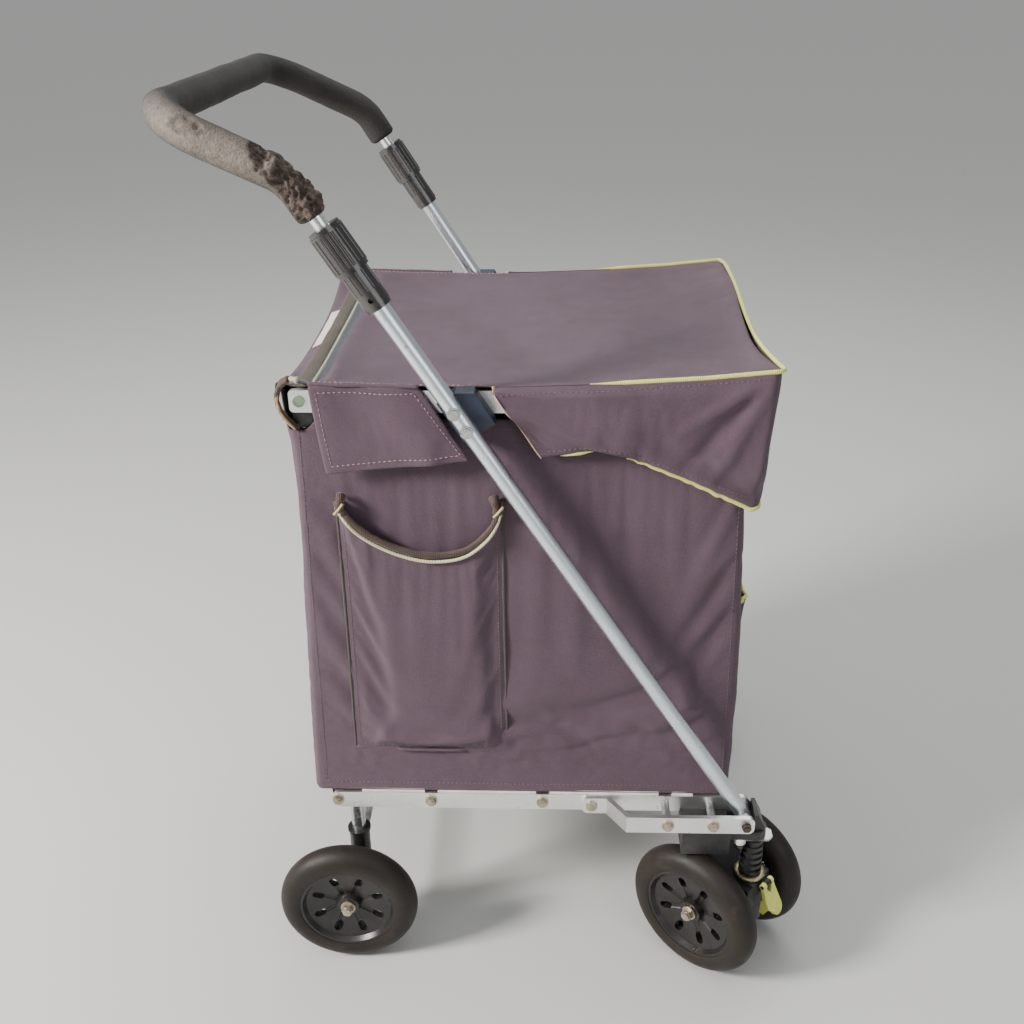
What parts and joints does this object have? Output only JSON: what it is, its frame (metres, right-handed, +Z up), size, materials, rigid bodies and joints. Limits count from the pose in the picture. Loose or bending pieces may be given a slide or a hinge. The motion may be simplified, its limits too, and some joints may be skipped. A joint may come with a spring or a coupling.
{
  "type": "four-point shopping trolley",
  "caption": "Shopping trolley: leaning tube frame with a telescoping foam-grip handle, lidded cloth bag, fixed rear wheels and twin-wheel swivel casters.",
  "frame": {"origin": "on the floor, under the middle of the trolley's footprint", "axes": "+X forward, away from the handle; +Y to the left of someone pushing it; +Z up"},
  "size_m": [0.6122, 0.5573, 0.9055],
  "materials": {
    "aluminium": "satin, lightly scratched extruded bar",
    "tube_aluminium": "dull drawn tube with fine lengthwise marks",
    "zinc_steel": "dull zinc plate",
    "yellow_zinc": "worn yellow zinc plate",
    "pale_plastic": "matte pale grey moulding",
    "black_steel": "thin black paint on steel strip",
    "black_plastic": "fine-grained moulding, dusty",
    "collar_plastic": "satin dark grey-brown moulding",
    "navy_plastic": "smooth moulding",
    "bag_cloth": "dark plum-grey coated polyester weave",
    "board": "matte sheet",
    "foam": "soft closed-cell foam, worn",
    "tyre": "dusty dark rubber",
    "hub_plastic": "semi-gloss black moulding",
    "lime_plastic": "semi-gloss moulding"
  },
  "bodies": {
    "root": {"base_rail_left": "aluminium", "base_rail_right": "aluminium", "joggle_plate_left": "aluminium", "joggle_plate_right": "aluminium", "cross_tubes": "zinc_steel", "base_bolts": "yellow_zinc", "slot_spacers": "zinc_steel", "base_slats": "pale_plastic", "rear_leg_left": "zinc_steel", "rear_leg_right": "zinc_steel", "rear_socket_left": "black_plastic", "rear_socket_right": "black_plastic", "rear_axle": "zinc_steel", "rear_hub_nuts": "yellow_zinc", "caster_block_left": "black_plastic", "caster_block_right": "black_plastic", "caster_housing_left": "black_plastic", "caster_housing_right": "black_plastic", "main_tube_left": "tube_aluminium", "main_tube_right": "tube_aluminium", "lower_sleeve_left": "collar_plastic", "lower_sleeve_right": "collar_plastic", "frame_bracket_left": "navy_plastic", "frame_bracket_right": "navy_plastic", "bracket_rivets": "yellow_zinc", "top_bar_left": "aluminium", "top_bar_right": "aluminium", "top_rod_rear": "zinc_steel", "top_rod_front": "zinc_steel", "top_bar_screws": "yellow_zinc", "rear_upright_left": "black_steel", "rear_upright_right": "black_steel", "bag_body": "bag_cloth", "bag_base_board": "board", "side_pocket": "bag_cloth", "front_pocket": "bag_cloth", "hood": "bag_cloth"},
    "lid": {"lid_flap": "bag_cloth"},
    "handle": {"handle_bar": "aluminium", "foam_grip": "foam"},
    "collar_left": {"twist_collar_left": "collar_plastic"},
    "rear_wheel_left": {"rear_tyre_left": "tyre", "rear_hub_left": "hub_plastic"},
    "caster_left": {"caster_yoke_left": "black_plastic", "caster_axle_left": "yellow_zinc"},
    "caster_wheel_left_outer": {"caster_tyre_left_outer": "tyre", "caster_hub_left_outer": "hub_plastic"},
    "caster_wheel_left_inner": {"caster_tyre_left_inner": "tyre", "caster_hub_left_inner": "hub_plastic"},
    "lever_left": {"lock_lever_left": "lime_plastic"},
    "collar_right": {"twist_collar_right": "collar_plastic"},
    "rear_wheel_right": {"rear_tyre_right": "tyre", "rear_hub_right": "hub_plastic"},
    "caster_right": {"caster_yoke_right": "black_plastic", "caster_axle_right": "yellow_zinc"},
    "caster_wheel_right_outer": {"caster_tyre_right_outer": "tyre", "caster_hub_right_outer": "hub_plastic"},
    "caster_wheel_right_inner": {"caster_tyre_right_inner": "tyre", "caster_hub_right_inner": "hub_plastic"},
    "lever_right": {"lock_lever_right": "lime_plastic"}
  },
  "joints": [
    {"name": "handle_slide", "type": "slide", "parent": "root", "child": "handle", "axis": [-0.5388, 0, 0.8425], "range_m": [-0.008, 0.1]},
    {"name": "lid_lift", "type": "hinge", "parent": "root", "child": "lid", "pos_m": [-0.02375, 0, 0.667], "axis": [0, 1, 0], "range_deg": [0, 150]},
    {"name": "collar_twist_left", "type": "hinge", "parent": "root", "child": "collar_left", "pos_m": [-0.14983, 0.208, 0.78593], "axis": [-0.5388, 0, 0.8425], "range_deg": [0, 90]},
    {"name": "rear_wheel_spin_left", "type": "hinge", "parent": "root", "child": "rear_wheel_left", "pos_m": [-0.192, 0.224, 0.075], "axis": [0, 1, 0], "continuous": true},
    {"name": "caster_swivel_left", "type": "hinge", "parent": "root", "child": "caster_left", "pos_m": [0.242, 0.213, 0.13], "axis": [0, 0, 1], "continuous": true},
    {"name": "caster_wheel_spin_left_outer", "type": "hinge", "parent": "caster_left", "child": "caster_wheel_left_outer", "pos_m": [0.20128, 0.25598, 0.075], "axis": [0.1045, -0.9945, 0], "continuous": true},
    {"name": "caster_wheel_spin_left_inner", "type": "hinge", "parent": "caster_left", "child": "caster_wheel_left_inner", "pos_m": [0.21111, 0.16249, 0.075], "axis": [0.1045, -0.9945, 0], "continuous": true},
    {"name": "lock_lever_tilt_left", "type": "hinge", "parent": "caster_left", "child": "lever_left", "pos_m": [0.26338, 0.21525, 0.113], "axis": [0.1045, -0.9945, 0], "range_deg": [0, 22]},
    {"name": "collar_twist_right", "type": "hinge", "parent": "root", "child": "collar_right", "pos_m": [-0.14983, -0.208, 0.78593], "axis": [-0.5388, 0, 0.8425], "range_deg": [0, 90]},
    {"name": "rear_wheel_spin_right", "type": "hinge", "parent": "root", "child": "rear_wheel_right", "pos_m": [-0.192, -0.224, 0.075], "axis": [0, 1, 0], "continuous": true},
    {"name": "caster_swivel_right", "type": "hinge", "parent": "root", "child": "caster_right", "pos_m": [0.242, -0.213, 0.13], "axis": [0, 0, 1], "continuous": true},
    {"name": "caster_wheel_spin_right_outer", "type": "hinge", "parent": "caster_right", "child": "caster_wheel_right_outer", "pos_m": [0.18421, -0.22586, 0.075], "axis": [0.6428, 0.766, 0], "continuous": true},
    {"name": "caster_wheel_spin_right_inner", "type": "hinge", "parent": "caster_right", "child": "caster_wheel_right_inner", "pos_m": [0.24463, -0.15386, 0.075], "axis": [0.6428, 0.766, 0], "continuous": true},
    {"name": "lock_lever_tilt_right", "type": "hinge", "parent": "caster_right", "child": "lever_right", "pos_m": [0.25847, -0.22682, 0.113], "axis": [-0.6428, -0.766, 0], "range_deg": [0, 22]}
  ]
}
